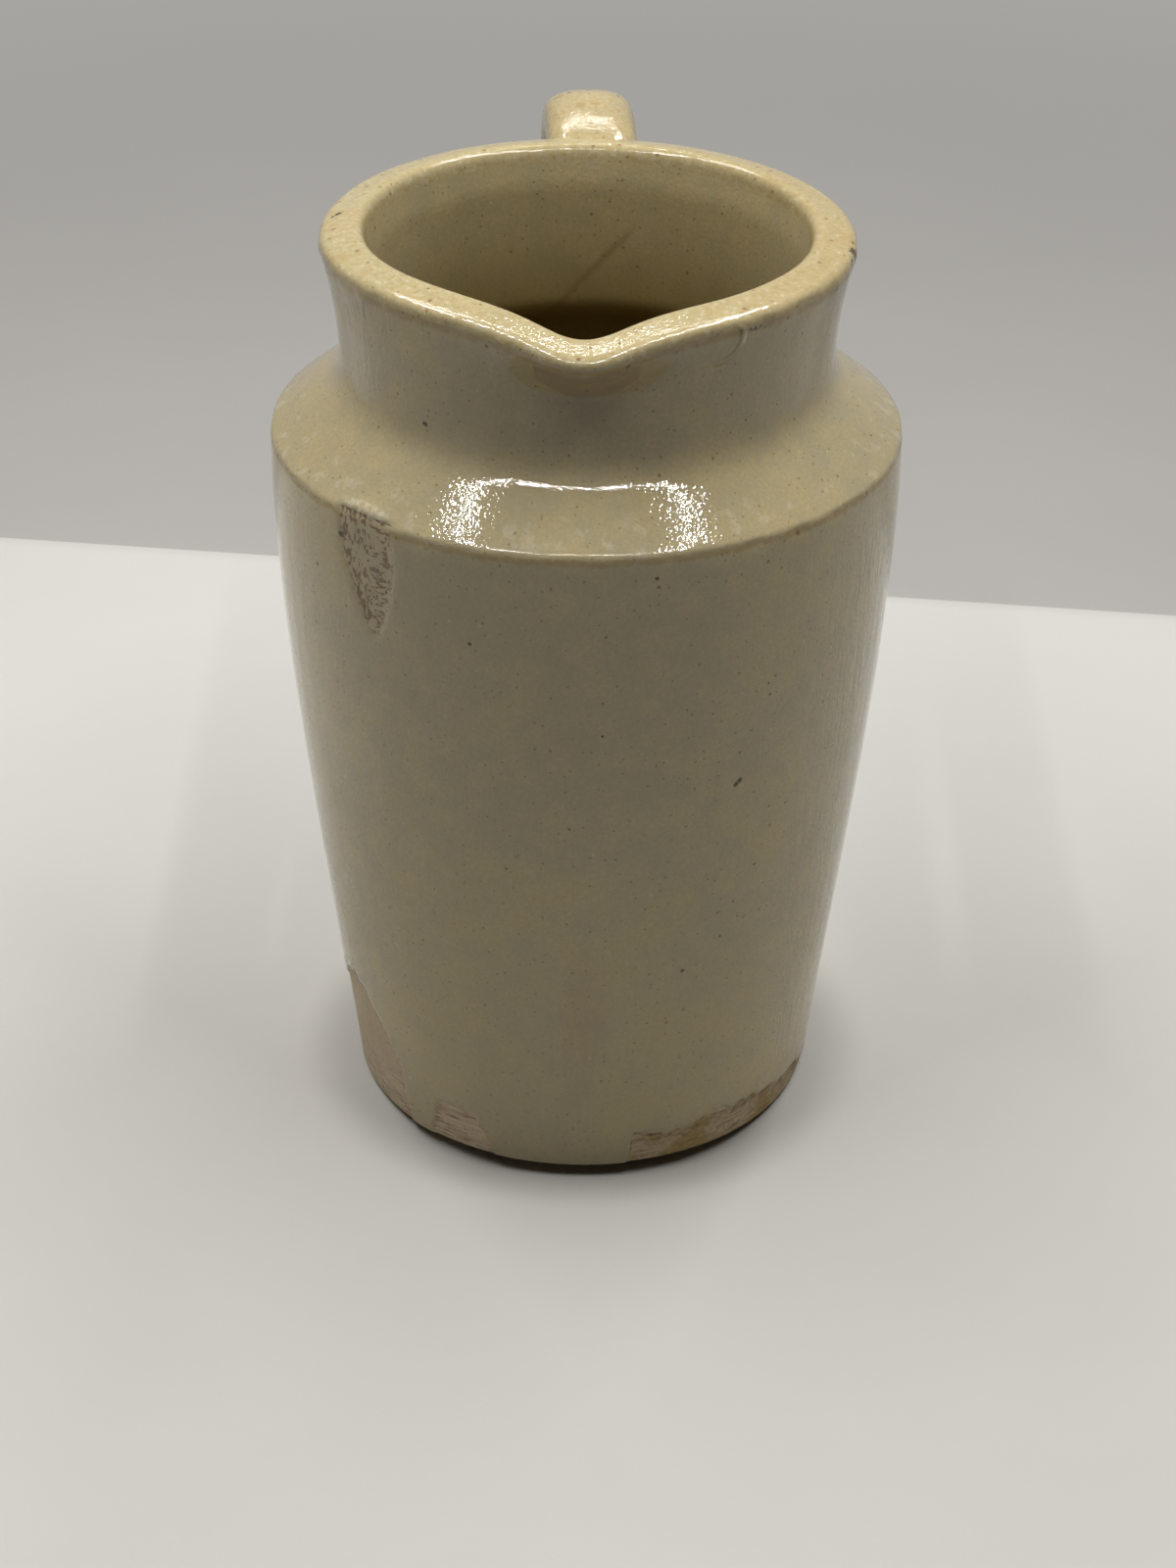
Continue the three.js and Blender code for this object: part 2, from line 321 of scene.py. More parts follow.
def material(name):
    """A new material and its empty shader."""
    made = bpy.data.materials.new(name)
    return made, Shader(made)


# Marks that the making and the kiln left, and the painted shade under the spout, as angles in degrees from
# the front to the right, and millimetres

GLAZE_EDGE = (
    (-112, 0.0), (-100, 3.0), (-88, 9.0), (-76, 14.0), (-67, 15.6), (-61, 14.8), (-53, 10.7), (-49.2, 8.0),
    (-47.8, 0.0), (-40.0, 0.0), (-37.5, 5.2), (-33, 5.9), (-26, 5.2), (-21.5, 0.0), (11.6, 0.0), (12.6, 4.6),
    (20, 3.9), (27, 3.7), (33, 5.0), (40, 4.7), (48, 4.1), (56, 3.7), (66, 3.6), (76, 2.0), (84, 0.0),
)
SCAR = {"angle": -39.9, "lean": -0.16, "tip": 64.3, "rise": 8.0, "half_width": 3.7, "power": 0.62,
        "top": 0.4, "edge": (-0.3, 0.8), "depth": 0.16, "roughness": 0.22}
BLOB = {"angle": -42.8, "height": 77.55, "half_length": 3.9, "half_height": 0.62, "stand": 0.26}
CRESCENT = {"angle": 28.6, "height": 95.5, "neck": 25.8, "radius": 2.35, "width": 0.24, "stand": 0.16}
SPOUT_SHADE = {"angle": 0.1, "half_angle": 10.4, "low": (90.35, 90.75), "sag": 2.4, "tint": (0.36, 0.27, 0.19)}
STAIN = {"angle": 0.2, "height": 20.5, "radius": 27.5, "half_width": 2.9, "half_height": 10.5,
         "tint": (0.46, 0.32, 0.19)}
SLANT = {"right": 4.6, "height": 89.0, "width": 0.7, "turn": math.radians(42)}
PITS = (
    (29.6, 49.1, 0.42), (30.3, 49.5, 0.34), (-38.2, 85.1, 0.32), (21.4, 26.4, 0.28), (-20.1, 66.6, 0.26),
    (-47.6, 74.2, 0.42), (-12.6, 82.3, 0.22), (15.6, 95.6, 0.3), (-14.8, 96.2, 0.26), (3.3, 57.2, 0.2),
    (9.6, 91.8, 0.24), (34.9, 60.3, 0.2), (35.4, 58.9, 0.2), (-55.2, 69.2, 0.28), (12.3, 74.6, 0.28),
)
RIM_TINTS = ((-92, 25.0, 4.2), (86, 25.0, 4.6), (62, 25.3, 2.4), (-70, 25.6, 2.2))
RIM_TINT_HEIGHT = 98.2
CHIPS = (
    (80, 97.1, 26.85, 0.85), (76, 96.5, 26.9, 0.70), (84, 97.6, 26.7, 0.50), (36.6, 96.1, 26.7, 0.34),
    (35.4, 96.2, 26.7, 0.26), (38.2, 96.1, 26.7, 0.24), (-95.7, 98.0, 25.3, 0.46), (-94.3, 97.9, 25.8, 0.30),
)


def glaze_edge(angle):
    """Height of the glaze's lower edge at an angle, in millimetres. Below it the clay is bare."""
    for (start, low), (end, high) in zip(GLAZE_EDGE, GLAZE_EDGE[1:]):
        if start <= angle <= end:
            return low + (high - low) * (angle - start) / (end - start)
    return 0.0


def smooth(value, start, end):
    """Rises smoothly from 0 to 1 while the value goes from start to end."""
    share = min(max((value - start) / (end - start), 0), 1)
    return share * share * (3 - 2 * share)


def round_point(angle, radius, height):
    """A point in metres, from its angle, and its radius and height in millimetres."""
    turn = math.radians(angle)
    return Vector((radius * math.sin(turn), -radius * math.cos(turn), height)) * MM


# Outlines

COARSE, MEDIUM, FINE = 1.5 * MM, 0.68 * MM, 0.28 * MM
OUTSIDE_STRETCHES = 8
WALL_SHARES = ((0.39, 1 / 3), (0.98, 2 / 3))
NECK_SHARES = ((0, 0.45), (0.48, 0.79))


def towards(corner, other, distance):
    """The point at a distance from a corner, on the way to another point."""
    return corner.lerp(other, distance / (other - corner).length)


def handles(low, high, shares):
    """The two handles of a curved leg, at shares of the way across and up between its corners."""
    return [Vector((low.x + (high.x - low.x) * across, low.y + (high.y - low.y) * up))
            for across, up in shares]


def outline(corners, legs):
    """Cubic stretches with their spacing. Corners have a reach and spacing, and legs handles and spacing."""
    stretches = []
    for i, (curve, spacing) in enumerate(legs):
        (start, start_reach, _), (end, end_reach, end_spacing) = corners[i:i + 2]
        near, far = curve or (end, start)
        first = towards(start, near, start_reach)
        last = towards(end, far, end_reach)
        middle = curve or (first.lerp(last, 1 / 3), first.lerp(last, 2 / 3))
        stretches.append(((first, *middle, last), spacing))
        if i + 1 < len(legs):
            after = towards(end, (legs[i + 1][0] or corners[i + 2])[0], end_reach)
            stretches.append(((last, last.lerp(end, 2 / 3), after.lerp(end, 2 / 3), after), end_spacing))
    return stretches


def sampled(stretch, spacing):
    """Points along a cubic stretch, without its last."""
    span = sum((after - before).length for before, after in zip(stretch, stretch[1:]))
    count = max(math.ceil(span / spacing), 2)
    return interpolate_bezier(*stretch, count + 1)[:-1]


def body_points(jug):
    """The turned body's section, from under its middle over the lip to the floor. Outside points have a 1."""
    foot = Vector((jug.foot_radius, 0))
    shoulder = Vector((jug.shoulder_radius, jug.shoulder_height))
    neck = Vector((jug.neck_radius, jug.shoulder_height + jug.shoulder_rise))
    rim = Vector((jug.rim_radius, jug.rim_height - jug.rim_drop))
    lip = Vector((jug.rim_radius - jug.lip, jug.rim_height))
    ledge = Vector((jug.throat_radius, jug.rim_height - jug.throat_ledge))
    slope = jug.shoulder_rise / (jug.shoulder_radius - jug.neck_radius)
    drop = jug.wall * (math.hypot(1, slope) - slope)
    chamber = Vector((jug.shoulder_radius - jug.wall, jug.shoulder_height - drop))
    throat = Vector((jug.throat_radius, chamber.y + (chamber.x - jug.throat_radius) * slope))
    corner = Vector((jug.foot_radius - jug.wall, jug.floor))
    floor = Vector((0, jug.floor))
    corners = (
        (Vector((0, 0)), 0, 0), (foot, jug.foot_edge, FINE), (shoulder, jug.shoulder_edge, FINE),
        (neck, jug.neck_fillet, FINE), (rim, jug.rim_edge, FINE), (lip, jug.lip_edge, FINE),
        (ledge, jug.throat_ledge_edge, FINE), (throat, jug.throat_edge, MEDIUM),
        (chamber, jug.inside_shoulder, MEDIUM), (corner, jug.floor_corner, MEDIUM), (floor, 0, 0),
    )
    legs = (
        (None, COARSE), (handles(foot, shoulder, WALL_SHARES), MEDIUM), (None, MEDIUM),
        (handles(neck, rim, NECK_SHARES), MEDIUM), (None, FINE), (None, MEDIUM), (None, MEDIUM),
        (None, COARSE), (handles(corner, chamber, WALL_SHARES)[::-1], COARSE), (None, COARSE),
    )
    points = [(point, float(i < OUTSIDE_STRETCHES)) for i, stretch in enumerate(outline(corners, legs))
              for point in sampled(*stretch)]
    return [*points, (floor, 0.0)]


# The body. Where the glaze breaks thin: how far in and down from a corner, and the reach's start and end

TURN_STEPS = 300
FRONT_BUNCH_SHARE = 0.3
WELD = 0.001 * MM
SHOULDER_BREAK = [value * MM for value in (0, 0.45, 0.75, 0.1)]
RIM_BREAK = [value * MM for value in (0.4, 2.2, 1.3, 0.2)]
LIP_DROPS = [value * MM for value in (2.3, 1.6)]

# How hands and tools left the surface: share of a depth, turns to the radian, and rise in millimetres

HAND_SHARES = ((0.7, 1.6, 26), (0.3, 5, 9))
EDGE_SHARES = ((0.3, 11, 400), (0.2, 45, 400))
EDGE_WEAR = 0.1
HAND_RADII = (3, 12)
FLUTES = {"depth": 0.05 * MM, "turns": 26, "rise": 30, "heights": (3, 12)}
SAG = {"depth": 0.1 * MM, "turns": 3, "rise": 9, "start": 4}

# How the kiln left it, in millimetres. FAR is a place away from a mark

FAR = -3.0
WAVE = {"reach": 1.8, "turns": 24, "rise": 3}
GLAZED_FOOT = 0.4
UNDERSIDE = {"inset": 1.2, "heights": (1.2, 0.2)}
COAT_EDGE = (-0.2, 0.5)
ROLL = {"stand": 0.12 * MM, "inset": 0.5, "reach": 0.7, "heights": (0.5, 2.5)}
LIFT = {"insets": (-3.2, -0.4), "heights": (4, 0), "angles": (52, 8)}


def turned_body(bm, jug):
    """Spins the body's outline. Each vertex keeps whether it is outside, on the lip and close to an edge."""
    outside, lip, edge = (bm.verts.layers.float.new(name) for name in ("outside", "lip", "edge"))
    verts = []
    for point, is_outside in body_points(jug):
        vert = bm.verts.new((0, -point.x, point.y))
        vert[outside] = is_outside
        vert[lip] = smooth(jug.rim_height - point.y, *LIP_DROPS)
        for radius, height, (inset, drop, start, end) in (
                (jug.shoulder_radius, jug.shoulder_height, SHOULDER_BREAK),
                (jug.rim_radius, jug.rim_height, RIM_BREAK)):
            off = (point - Vector((radius - inset, height - drop))).length
            vert[edge] = max(vert[edge], is_outside * smooth(off, start, end))
        verts.append(vert)
    edges = [bm.edges.new(pair) for pair in zip(verts, verts[1:])]
    bmesh.ops.spin(bm, geom=verts + edges, cent=(0, 0, 0), axis=(0, 0, 1), angle=2 * math.pi,
                   steps=TURN_STEPS, use_merge=True, use_duplicate=False)
    bmesh.ops.remove_doubles(bm, verts=bm.verts, dist=WELD)
    bmesh.ops.recalc_face_normals(bm, faces=bm.faces)


def scar_field(angle, height, radius):
    """How far inside the scar's edge a place is, in millimetres."""
    middle = SCAR["angle"] + SCAR["lean"] * (height - SCAR["tip"])
    across = abs(math.radians(angle - middle) * radius)
    if height <= SCAR["tip"]:
        return -across - SCAR["tip"] + height
    share = min((height - SCAR["tip"]) / SCAR["rise"], 1)
    return SCAR["half_width"] * share ** SCAR["power"] - across


def blob_field(angle, height, radius):
    """1 in the middle of the blob of glaze on the shoulder's edge and 0 at its edge."""
    along = math.radians(angle - BLOB["angle"]) * radius / BLOB["half_length"]
    up = (height - BLOB["height"]) / BLOB["half_height"]
    return max(1 - along * along - up * up, 0)


def ripple(angle, height, turns, rise):
    """Noise about 0 on the round body: turns features to the radian, and one to each rise in height."""
    spin = math.radians(angle)
    return 0.5 * noise.noise(Vector((math.sin(spin) * turns, math.cos(spin) * turns, height / rise)))


def hand_marks(jug, angle, height, edge):
    """How far hands and tools left the surface off its true round."""
    hand, worn = (sum((share * ripple(angle, height, turns, rise) for share, turns, rise in shares), start)
                  for shares, start in ((HAND_SHARES, 0), (EDGE_SHARES, EDGE_WEAR)))
    flutes = FLUTES["depth"] * ripple(angle, height, FLUTES["turns"], FLUTES["rise"])
    return jug.wobble * hand + flutes * smooth(height, *FLUTES["heights"]) - MM * edge * worn


def bare_field(jug, angle, height, radius):
    """How far below the glaze's edge a place is, in millimetres. The middle of the underside is bare too."""
    limit = glaze_edge(angle)
    wave = WAVE["reach"] * ripple(angle, WAVE["rise"], WAVE["turns"], WAVE["rise"])
    bare = limit + wave if limit > 0 else -GLAZED_FOOT
    foot = jug.foot_radius / MM
    under = 3 * smooth(radius, foot, foot - UNDERSIDE["inset"]) * smooth(height, *UNDERSIDE["heights"])
    return max(bare - height, under - 1)


def pull_spout(jug, spout, turn, drop):
    """How far out and down the spout's pull takes a place. turn is from the front, and drop from the rim."""
    along = jug.rim_radius * turn + spout.shift
    pull = 1 / math.cosh(along / spout.spread)
    pressed = (along / spout.pinch_distance) ** 2
    pinch = spout.pinch if along < 0 else spout.right_pinch
    fade = 1 - smooth(drop, spout.top, spout.depth)
    return (spout.reach * pull - pinch * pressed * math.exp(1 - pressed)) * fade, spout.dip * pull * fade


def kiln_marks(jug, angle, height, radius, rise, bare, scarred, lump):
    """Where the glaze's edge, the scar, the blob and the lifted foot take the radius and rise of a place."""
    radius -= jug.coat * smooth(bare, *COAT_EDGE)
    roll = ROLL["stand"] * smooth(abs(bare + ROLL["inset"]), ROLL["reach"], 0)
    radius += roll * smooth(height, *ROLL["heights"])
    rough = 0.5 + 0.5 * noise.noise(Vector((angle * 1.1, height * 0.9, 7.0)))
    radius -= smooth(scarred, *SCAR["edge"]) * (SCAR["depth"] + SCAR["roughness"] * rough) * MM
    lump *= BLOB["stand"] * MM * (0.6 + 0.4 * noise.noise(Vector((angle * 0.5, height, 3.0))))
    radius += 0.45 * lump
    rise += 0.85 * lump
    start, end = (jug.foot_radius / MM + inset for inset in LIFT["insets"])
    skirt = smooth(radius / MM, start, end) * smooth(height, *LIFT["heights"])
    return radius, rise + jug.foot_lift * smooth(abs(angle), *LIFT["angles"]) * skirt


def work_body(bm, jug, spout):
    """Moves the turned body's vertices as hands, tools and the kiln did, and keeps the marks' fields."""
    outside, edge = (bm.verts.layers.float[name] for name in ("outside", "edge"))
    layers = [bm.verts.layers.float.new(name) for name in ("bare", "scar", "blob")]
    shoulder = jug.shoulder_height / MM
    for vert in bm.verts:
        turn = math.atan2(vert.co.x, -vert.co.y)
        turn -= FRONT_BUNCH_SHARE * math.sin(turn)
        angle = math.degrees(turn)
        radius = math.hypot(vert.co.x, vert.co.y)
        rise = vert.co.z
        height = rise / MM
        place = angle, height, radius / MM
        bare = bare_field(jug, *place) if vert[outside] else FAR
        scarred = scar_field(*place) if vert[outside] and height < shoulder + SCAR["top"] else FAR
        fields = bare, max(scarred, FAR), blob_field(*place) * vert[outside]
        for layer, value in zip(layers, fields):
            vert[layer] = value
        radius += smooth(place[-1], *HAND_RADII) * hand_marks(jug, angle, height, vert[edge])
        if vert[outside]:
            radius, rise = kiln_marks(jug, angle, height, radius, rise, *fields)
        out, down = pull_spout(jug, spout, turn, jug.rim_height - vert.co.z)
        droop = jug.rim_tilt * (0.5 + 0.5 * math.cos(turn - jug.low_side))
        sag = droop + SAG["depth"] * (0.5 + ripple(angle, 0, SAG["turns"], SAG["rise"]))
        rise -= down + sag * smooth(height, shoulder + SAG["start"], jug.rim_height / MM)
        radius = min(radius + out, BODY_REACH)
        vert.co = (radius * math.sin(turn), -radius * math.cos(turn), rise)


# The strap handle

SECTION_STEPS = 56
SECTION_POWER = 2.6
SPREAD_POWER = 8
STATIONS = 110
PATH_STEPS = 25
SOFT_SIZE, FINE_SIZE = 6, 2.2
RISE_SHARES = ((-0.13, 1), (0.06, 0.66), (0.33, 0.19), (0.615, 0), (0.885, 0.38))
FALL_SHARES = ((1, 0.694), (0.91, 0.451), (0.63, 0.229), (0.245, 0.076), (-0.07, 0), (-0.33, -0.042))


def strap_knots(jug, strap):
    """The points that the strap's centre line passes, from the neck to the wall."""
    reach = jug.shoulder_radius + strap.stand_off
    low = jug.shoulder_height - strap.end_drop
    crest = jug.rim_height - strap.crest_drop

    def knot(start, out, height):
        run = start + (reach - start) * out - jug.neck_radius
        side, back = run * math.sin(strap.yaw), run * math.cos(strap.yaw)
        return Vector((strap.side_step - side, jug.neck_radius + back, height))

    rise = [knot(jug.neck_radius, out, crest - down * strap.root_drop) for out, down in RISE_SHARES]
    fall = [knot(jug.shoulder_radius, out, low + (crest - low) * up) for out, up in FALL_SHARES]
    return rise + fall


def smooth_path(knots, steps):
    """Points on a smooth curve through the knots, at steps even distances."""
    ends = [2 * knots[0] - knots[1], *knots, 2 * knots[-1] - knots[-2]]

    def pace(i):
        before, here, after = ends[i - 1:i + 2]
        first = math.sqrt((here - before).length)
        second = math.sqrt((after - here).length)
        return (here - before) / first - (after - before) / (first + second) + (after - here) / second

    path = []
    for i in range(1, len(ends) - 2):
        start, end = ends[i:i + 2]
        third = math.sqrt((end - start).length) / 3
        curve = (start, start + pace(i) * third, end - pace(i + 1) * third, end)
        path += interpolate_bezier(*curve, PATH_STEPS)[:-1]
    path.append(knots[-1])
    spans = [(after - before).length for before, after in zip(path, path[1:])]
    stride = sum(spans) / steps
    even = [path[0]]
    gone = 0.0
    for before, after, span in zip(path, path[1:], spans):
        while gone + span >= stride * len(even) and len(even) < steps:
            even.append(before.lerp(after, (stride * len(even) - gone) / span))
        gone += span
    return [*even, path[-1]]


def strap_stations(jug, strap):
    """A matrix for each station of the strap. It puts a unit section where the strap passes."""
    path = smooth_path(strap_knots(jug, strap), STATIONS)
    sideways = Vector((math.cos(strap.yaw), math.sin(strap.yaw), 0))
    stations = []
    for i, centre in enumerate(path):
        along = (path[min(i + 1, STATIONS)] - path[max(i - 1, 0)]).normalized()
        over = sideways.cross(along)
        share = i / STATIONS
        spread = strap.root_spread * (2 * share - 1) ** SPREAD_POWER
        half_width = (strap.width + (strap.end_width - strap.width) * share + spread) / 2
        half_thickness = (strap.thickness + (strap.end_thickness - strap.thickness) * share + spread) / 2
        columns = (sideways * half_width, over * half_thickness, along, centre)
        stations.append(Matrix([(*column, 0) for column in columns]).transposed())
        stations[-1][3][3] = 1
    return stations


def squared(place):
    """A place on the unit circle, moved out to the strap's rounded section."""
    return Vector([math.copysign(abs(value) ** (2 / SECTION_POWER), value) for value in place])


def pull_strap(bm, stations):
    """Extrudes the section from station to station."""
    ring = bmesh.ops.create_circle(bm, segments=SECTION_STEPS, radius=1)["verts"]
    for vert in ring:
        vert.co = squared(vert.co)
    bmesh.ops.transform(bm, matrix=stations[0], verts=ring)
    edges = bm.edges[:]
    for before, after in zip(stations, stations[1:]):
        made = bmesh.ops.extrude_edge_only(bm, edges=edges)["geom"]
        verts = [item for item in made if isinstance(item, bmesh.types.BMVert)]
        edges = [item for item in made if isinstance(item, bmesh.types.BMEdge)]
        bmesh.ops.transform(bm, matrix=after @ before.inverted(), verts=verts)


def cut_root(bm, depth, low, high):
    """Cuts off what of the strap lies nearer the axis than a depth, between two heights, and closes it."""
    def inside(item):
        return all(low <= vert.co.z <= high for vert in item.verts)
    faces = [face for face in bm.faces if inside(face)]
    edges = [edge for edge in bm.edges if inside(edge)]
    verts = [vert for vert in bm.verts if low <= vert.co.z <= high]
    bmesh.ops.bisect_plane(bm, geom=verts + edges + faces, plane_co=(0, depth, 0), plane_no=(0, 1, 0),
                           clear_inner=True)
    rim = [edge for edge in bm.edges if edge.is_boundary and inside(edge)]
    bmesh.ops.holes_fill(bm, edges=rim, sides=0)


def work_strap(bm, strap):
    """Gives the strap the unevenness of pulled clay, inwards only."""
    bm.normal_update()
    moves = []
    for vert in bm.verts:
        place = vert.co / MM
        soft = noise.noise(place / SOFT_SIZE + Vector((3, 1, 8)))
        fine = noise.noise(place / FINE_SIZE)
        moves.append((vert, vert.normal * -strap.wobble * (0.5 + 0.35 * soft + 0.15 * fine)))
    for vert, move in moves:
        vert.co += move


# The slip joints

FILLET_STEPS = 9
LUTE_STATIONS = 34
UNEVEN_SHARE, UNEVEN_TURNS, HEEL_SHARE = 0.22, 1.3, 0.35


def piece_tree(name):
    """A tree for finding places on a piece's surface."""
    bm = bmesh.new()
    bm.from_mesh(bpy.data.objects[name].data)
    tree = BVHTree.FromBMesh(bm)
    bm.free()
    return tree


def strap_line(stations, k):
    """One line along the strap's surface, station by station."""
    turn = 2 * math.pi * k / SECTION_STEPS
    return [station @ squared((math.cos(turn), math.sin(turn), 0)) for station in stations]


def seat(line_points, body_tree, reach):
    """Where a line along the strap meets the body, and the point a reach back along it."""
    gone = 0.0
    travelled = [line_points[0]]
    for before, after in zip(line_points, line_points[1:]):
        step = after - before
        hit = body_tree.ray_cast(before, step.normalized(), step.length)[0]
        if hit:
            travelled.append(hit)
            break
        travelled.append(after)
    crease = travelled[-1]
    for near, far in zip(reversed(travelled), reversed(travelled[:-1])):
        span = (far - near).length
        if gone + span >= reach:
            return crease, near.lerp(far, (reach - gone) / span)
        gone += span
    return crease, travelled[0]


def lute(bm, stations, strap, seed):
    """Builds the fillet of slip where the strap's last station is sunk in the body."""
    body_tree = piece_tree("glazed_body")
    strap_tree = piece_tree("glazed_handle")
    rows = [[] for _ in range(FILLET_STEPS + 2)]
    for k in range(SECTION_STEPS):
        turn = k * 2 * math.pi / SECTION_STEPS
        spot = Vector((math.cos(turn) * UNEVEN_TURNS, math.sin(turn) * UNEVEN_TURNS, seed))
        uneven = 1 + UNEVEN_SHARE * noise.noise(spot)
        crease, back = seat(strap_line(stations, k), body_tree, strap.slip_reach * uneven)
        upper, upper_normal = strap_tree.find_nearest(back)[:2]
        normal = body_tree.find_nearest(crease)[1]
        outward = crease - stations[-1].translation
        outward -= normal * outward.dot(normal)
        below = crease + outward.normalized() * strap.slip_reach * uneven
        lower, lower_normal = body_tree.find_nearest(below)[:2]
        upper = upper - upper_normal * strap.slip_sink
        lower = lower - lower_normal * strap.slip_sink
        inward = upper_normal + lower_normal
        knee = crease + inward * strap.slip_sink
        curve = (upper, upper.lerp(knee, 2 / 3), lower.lerp(knee, 2 / 3), lower)
        for row, point in zip(rows, interpolate_bezier(*curve, FILLET_STEPS + 1)):
            row.append(point)
        rows[-1].append(crease - inward.normalized() * HEEL_SHARE * strap.slip_reach)
    rings = []
    for row in rows:
        verts = [bm.verts.new(point) for point in row]
        rings.append([bm.edges.new((verts[k - 1], verts[k])) for k in range(SECTION_STEPS)])
    for first, second in zip(rings, rings[1:] + rings[:1]):
        bmesh.ops.bridge_loops(bm, edges=first + second)
    bmesh.ops.recalc_face_normals(bm, faces=bm.faces)


# Finishes. Noises are given as size in millimetres, detail, roughness, and the stretch where there is one

NOISES = {
    "cloud": (19, 2, 0.5), "mottle": (3.4, 3, 0.6), "grain": (0.42, 2, 0.7), "peel": (1.3, 2, 0.55),
    "skin": (0.38, 1, 0.5), "edge": (0.9, 3, 0.65), "rim cloud": (2.6, 3, 0.6), "rim grit": (0.65, 2, 0.7),
    "inside": (7, 2, 0.5), "stain": (5, 3, 0.6), "pit": (0.35, 1, 0.5), "bare edge": (0.7, 3, 0.65),
    "lines": (3.2, 3, 0.6, 1, 1, 7), "clay grit": (0.5, 3, 0.7), "warmth": (3.5, 2, 0.5),
    "scratches": (2.6, 2, 0.5, 1, 1, 12), "fringe": (2.2, 3, 0.6, 1, 1, 4), "scar edge": (1.1, 3, 0.6),
    "level": (0.34, 2, 0.6, 0.4, 0.4, 1), "upright": (0.36, 2, 0.6, 1, 1, 0.45), "blob": (0.6, 3, 0.65),
    "scrapes": (24, 1, 0.5), "dimples": (1.7, 2, 0.6), "shoulder": (2.0, 4, 0.65),
    "strap grit": (0.5, 2, 0.7), "strap cloud": (1.2, 3, 0.5),
}

# Dots, as cell and largest radius in millimetres and the shift of their pattern

SPECKS = ((0.8, 0.20, 0.50), (1.7, 0.26, 0.60), (3.6, 0.31, 0.75), (8.5, 0.44, 0.80))
PALE_DOTS = (2.9, 0.30, (0.5, 0.6, 0.1))
EDGE_DOTS = (1.2, 0.40, (0.2, 0.4, 0.9))
RIM_DOTS = (1.3, 0.36, (0.8, 0.1, 0.4))
SCAR_DOTS = (0.8, 0.36, (0, 0, 0))

# Regions, each by where its edges start and end: angles in degrees, radii and heights in millimetres

REGIONS = {
    "shoulder's edge": (("radius", 27.5, 30.5), ("up", 76.4, 77.4)),
    "right of rim": (("angle", 15, 70), ("angle", 178, 120)),
    "outside wall": (("radius", 24.5, 25.2),),
    # Low on the front, where the glaze is painted with shade
    "painted shade low front": (("up", 50, 8), ("angle", -55, -20), ("angle", 55, 20)),
    "under lip": (("up", 95.4, 94.6),),
    "left neck": (("angle", -75, -62), ("angle", -43, -56), ("up", 84, 88), ("up", 98, 94),
                  ("radius", 24.6, 25.2)),
    "inside line": (("up", 77, 81), ("up", 91, 87), ("back", 18, 20)),
    "right": (("angle", 28, 62),),
    "left": (("angle", -81, -65), ("angle", -29, -45)),
    "wall": (("up", 76, 74),),
    "neck": (("up", 84.5, 86.5), ("up", 96.5, 95.5)),
    "dimpled": (("angle", 24, 50), ("angle", 140, 100)),
    "crescent": (("radius", 24.8, 25.2), ("up", 97.0, 96.4)),
    "right of scar": (("angle", SCAR["angle"] - 2, SCAR["angle"] + 1),),
    "bare right": (("angle", 2, 8),),
    "bare left": (("angle", -44, -50), ("up", 2, 8)),
}

# How far the glaze's surface stands up or is sunk, in metres, and how ragged marks and pits are

PEEL = 0.024 * MM
SKIN = 0.028 * MM
SPECK_SINK_SHARE = 0.03
PALE_SINK = 0.01 * MM
PIT_DEPTH = 0.03 * MM
CLAY_GRAIN = 0.05 * MM
FURROW = 0.06 * MM
SCRAPE = 0.06 * MM
DIMPLE = 0.07 * MM
MARK_RAGGED = 1.2 * MM
PIT_RAGGED_SHARE = 1.25
MOTTLE_SHIFT = (0.3, 0.1, 0.2)
# Heights in millimetres over which the painted shade inside the hollow deepens
INSIDE_SHADE_HEIGHTS = (95.5, 79.5)


def surface_point(jug, angle, height):
    """A point on the outside of the body, in metres, from its angle and its height in millimetres."""
    radius = next(point.x for point, _ in body_points(jug) if point.y >= height * MM)
    return round_point(angle, radius / MM, height)


class Coat:
    """A glaze in the making: its colour, its height in metres, and where on the jug a place lies."""

    def __init__(self, name, look):
        self.made, self.shader = material(name)
        self.look = look
        self.place = self.shader.place()
        self.tint = self.height = None

    @cached_property
    def spot(self):
        """Where a place lies: its angle from the front in degrees, and its other measures in millimetres."""
        right, back, up = (part / MM for part in self.shader.parts(self.place))
        angle = right.math("ARCTAN2", right, -back) * math.degrees(1)
        radius = (right * right + back * back) ** 0.5
        return SimpleNamespace(right=right, back=back, up=up, angle=angle, radius=radius)

    def mask(self, name):
        """A value that the body's mesh carries."""
        return self.shader.attribute(name)

    def noise(self, name, shift=None):
        """One of the noises."""
        size, detail, roughness, *stretch = NOISES[name]
        place = self.shader.scaled(self.place, stretch) if stretch else self.place
        place = self.shader.shifted(place, shift) if shift else place
        return self.shader.noise(place, size * MM, detail, roughness)

    def dots(self, cell, radius, shift):
        """Scattered dots."""
        return self.shader.dots(self.shader.shifted(self.place, shift), cell * MM, radius * MM)

    def near(self, point):
        """The distance from a point, in metres."""
        return self.shader.distance(self.place, point)

    def within(self, name):
        """1 inside one of the regions, and 0 outside."""
        return reduce(mul, (getattr(self.spot, part).step(start, end) for part, start, end in REGIONS[name]))

    def streaks(self, turns, rises, depth, scale, detail, roughness=0.5):
        """Noise in upright streaks."""
        place = {0: self.spot.angle * turns, 1: self.spot.up * rises, 2: depth}
        grid = self.shader.node("ShaderNodeCombineXYZ", None, place)
        return self.shader.noise(grid, 1 / scale, detail, roughness)

    def lay(self, share, tint):
        """Lays a colour over the coat, as strongly as share says."""
        self.tint = self.shader.mix(share, self.tint, tint)


def dimmed(tint, share):
    """A colour made darker."""
    return tuple(value * share for value in tint)


